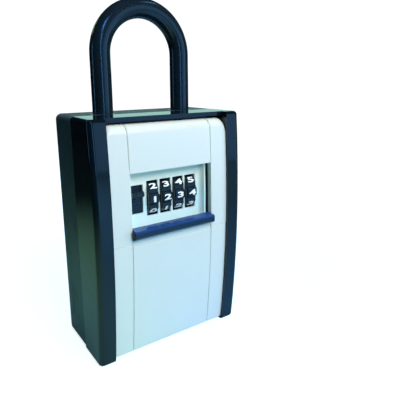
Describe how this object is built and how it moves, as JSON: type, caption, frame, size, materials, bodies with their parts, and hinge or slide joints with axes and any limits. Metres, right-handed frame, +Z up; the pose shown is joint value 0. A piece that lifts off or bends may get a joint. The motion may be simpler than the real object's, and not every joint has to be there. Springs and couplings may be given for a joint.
{
  "type": "key lock box",
  "caption": "Portable key lock box: a shackled case with a drop-down door that carries number dials, a sliding dial cover and a release button.",
  "frame": {"origin": "centre of the box's footprint, on the surface that it stands on", "axes": "+Z up along the shackle, the silver front looks along -Y, +X is to the right seen from the front"},
  "size_m": [0.083, 0.0516, 0.1761],
  "materials": {
    "case_black": "fine matte black powder coat",
    "gloss_black": "polished black moulded plastic",
    "silver": "satin silver lacquer on aluminium",
    "silver_plastic": "silver-grey moulded plastic",
    "black_plastic": "satin black moulded plastic",
    "dial_black": "black moulded dial with white printed digits",
    "steel": "zinc plated steel",
    "spring_steel": "spring steel",
    "zinc": "bare zinc die casting",
    "brass": "turned brass",
    "shackle_black": "hardened steel rod in a smooth black vinyl coat",
    "tray_grey": "dark grey moulded liner",
    "lever_red": "red moulded lever"
  },
  "bodies": {
    "case": {"rear_shell": "case_black", "case_hinge_leaf": "steel", "hinge_pin": "steel", "compartment_tray": "tray_grey", "key_hook": "steel", "hook_rivets": "steel", "shackle_block": "zinc", "block_standoffs": "zinc", "block_screws": "steel", "shackle_bushes": "black_plastic", "latch_keeper": "steel", "keeper_screws": "steel"},
    "door": {"front_frame": "gloss_black", "door_hinge_leaf": "steel", "upper_panel": "silver", "lower_strip_left": "silver", "lower_strip_right": "silver", "recess_plate": "silver_plastic", "lock_chassis": "zinc", "chassis_screws": "steel", "dial_spindle": "steel", "spindle_clips": "spring_steel", "detent_spring": "spring_steel", "latch_spring": "spring_steel", "inner_cover": "tray_grey", "lock_cap": "tray_grey", "cover_screws": "steel"},
    "dial_cover": {"cover_panel": "silver", "cover_ledge": "black_plastic", "cover_slide": "black_plastic"},
    "latch": {"release_button": "black_plastic", "latch_bar": "steel", "latch_hooks": "steel"},
    "reset_lever": {"reset_lever": "lever_red"},
    "shackle": {"shackle": "shackle_black", "shackle_clip": "spring_steel"},
    "shackle_bolt": {"shackle_bolt": "steel", "bolt_tab": "lever_red"},
    "dial_1": {"dial_wheel_1": "dial_black", "code_cam_1": "brass"},
    "dial_2": {"dial_wheel_2": "dial_black", "code_cam_2": "brass"},
    "dial_3": {"dial_wheel_3": "dial_black", "code_cam_3": "brass"},
    "dial_4": {"dial_wheel_4": "dial_black", "code_cam_4": "brass"}
  },
  "joints": [
    {"name": "door_hinge", "type": "hinge", "parent": "case", "child": "door", "pos_m": [0, -0.00025, 0.0013], "axis": [1, 0, 0], "range_deg": [0, 90]},
    {"name": "dial_cover_slide", "type": "hinge", "parent": "door", "child": "dial_cover", "pos_m": [0, 0.5477, 0.07], "axis": [-1, 0, 0], "range_deg": [0, 2.61]},
    {"name": "latch_slide", "type": "slide", "parent": "door", "child": "latch", "axis": [0, 0, 1], "range_m": [0, 0.0022], "deforming": ["latch_spring"]},
    {"name": "reset_lever_turn", "type": "hinge", "parent": "door", "child": "reset_lever", "pos_m": [0.0295, -0.00035, 0.08], "axis": [0, 1, 0], "range_deg": [0, 80]},
    {"name": "shackle_lift", "type": "slide", "parent": "case", "child": "shackle", "axis": [0, 0, 1], "range_m": [0, 0.024]},
    {"name": "shackle_bolt_slide", "type": "slide", "parent": "case", "child": "shackle_bolt", "axis": [1, 0, 0], "range_m": [0, 0.0035]},
    {"name": "dial_1_turn", "type": "hinge", "parent": "door", "child": "dial_1", "pos_m": [-0.00877, -0.0086, 0.0797], "axis": [1, 0, 0], "continuous": true},
    {"name": "dial_2_turn", "type": "hinge", "parent": "door", "child": "dial_2", "pos_m": [-0.00139, -0.0086, 0.0797], "axis": [1, 0, 0], "continuous": true},
    {"name": "dial_3_turn", "type": "hinge", "parent": "door", "child": "dial_3", "pos_m": [0.00599, -0.0086, 0.0797], "axis": [1, 0, 0], "continuous": true},
    {"name": "dial_4_turn", "type": "hinge", "parent": "door", "child": "dial_4", "pos_m": [0.01337, -0.0086, 0.0797], "axis": [1, 0, 0], "continuous": true}
  ]
}
